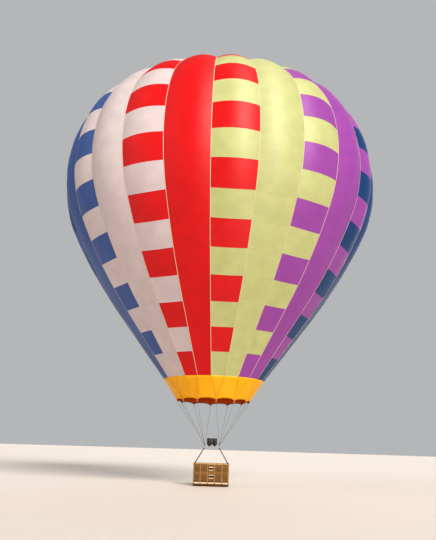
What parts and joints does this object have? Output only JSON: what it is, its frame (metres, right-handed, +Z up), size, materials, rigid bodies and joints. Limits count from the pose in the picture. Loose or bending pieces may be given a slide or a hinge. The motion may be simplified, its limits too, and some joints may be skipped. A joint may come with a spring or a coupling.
{
  "type": "hot air balloon",
  "caption": "Hot air balloon with a striped and chequered gored envelope, mouth band, flying wires, gimballed double burner and wicker basket.",
  "frame": {"origin": "on the upright axis at the middle of the hot air, 15 m above the ground that the basket stands on, where the lift acts", "axes": "+Z up along the balloon, +X to the right along the basket's long side, -Y to the front of the basket"},
  "size_m": [17.1106, 17.1106, 22.6191],
  "materials": {
    "cloth_red": "coated ripstop nylon, thin enough to glow",
    "cloth_lime": "coated ripstop nylon, thin enough to glow",
    "cloth_violet": "coated ripstop nylon, thin enough to glow",
    "cloth_navy": "coated ripstop nylon, thin enough to glow",
    "cloth_blue": "coated ripstop nylon, thin enough to glow",
    "cloth_white": "coated ripstop nylon, thin enough to glow",
    "cloth_yellow": "heat-proof woven aramid",
    "webbing": "woven polyester load tape",
    "steel_wire": "stranded stainless wire",
    "frame_metal": "dulled welded tube",
    "stainless": "heat-tinted stainless steel",
    "plywood": "worn marine ply",
    "wicker": "varnished willow and cane weave",
    "pale_leather": "tan suede, rubbed pale on edges",
    "dark_leather": "dark hide, scuffed",
    "jacket": "padded nylon jacket"
  },
  "bodies": {
    "balloon": {"gore_01": "cloth_red", "gore_02": "cloth_lime", "gore_03": "cloth_lime", "gore_04": "cloth_violet", "gore_05": "cloth_violet", "gore_06": "cloth_navy", "gore_07": "cloth_navy", "gore_08": "cloth_red", "gore_09": "cloth_red", "gore_10": "cloth_lime", "gore_11": "cloth_lime", "gore_12": "cloth_blue", "gore_13": "cloth_blue", "gore_14": "cloth_white", "gore_15": "cloth_white", "gore_16": "cloth_violet", "gore_17": "cloth_violet", "gore_18": "cloth_navy", "gore_19": "cloth_navy", "gore_20": "cloth_blue", "gore_21": "cloth_blue", "gore_22": "cloth_white", "gore_23": "cloth_white", "gore_24": "cloth_red", "mouth_band": "cloth_yellow", "crown_web": "webbing", "flying_wires_front_right": "steel_wire", "flying_wires_back_right": "steel_wire", "flying_wires_back_left": "steel_wire", "flying_wires_front_left": "steel_wire", "load_frame": "frame_metal", "skid_front": "plywood", "skid_middle": "plywood", "skid_back": "plywood", "basket_floor": "plywood", "basket_scuff_band": "dark_leather", "basket_lower_rail": "pale_leather", "wall_front": "wicker", "wall_back": "wicker", "wall_left": "wicker", "wall_right": "wicker", "basket_rim": "pale_leather", "upright_front_right": "dark_leather", "upright_back_right": "dark_leather", "upright_back_left": "dark_leather", "upright_front_left": "dark_leather", "fuel_cylinder_front_right": "jacket", "fuel_cylinder_back_right": "jacket", "fuel_cylinder_back_left": "jacket", "fuel_cylinder_front_left": "jacket"},
    "parachute": {"parachute_vent": "cloth_red"},
    "gimbal": {"gimbal_ring": "stainless"},
    "burners": {"burner_cradle": "frame_metal", "burner_left": "stainless", "burner_coil_left": "stainless", "burner_right": "stainless", "burner_coil_right": "stainless"}
  },
  "joints": [
    {"name": "vent_slide", "type": "slide", "parent": "balloon", "child": "parachute", "axis": [0, 0, 1], "range_m": [-1.2, 0], "stiffness_N_per_m": 300, "springref_m": 1},
    {"name": "gimbal_tip", "type": "hinge", "parent": "balloon", "child": "gimbal", "pos_m": [0, 0, -13.11], "axis": [1, 0, 0], "range_deg": [-15, 15]},
    {"name": "burner_tip", "type": "hinge", "parent": "gimbal", "child": "burners", "pos_m": [0, 0, -13.11], "axis": [0, 1, 0], "range_deg": [-15, 15]}
  ]
}
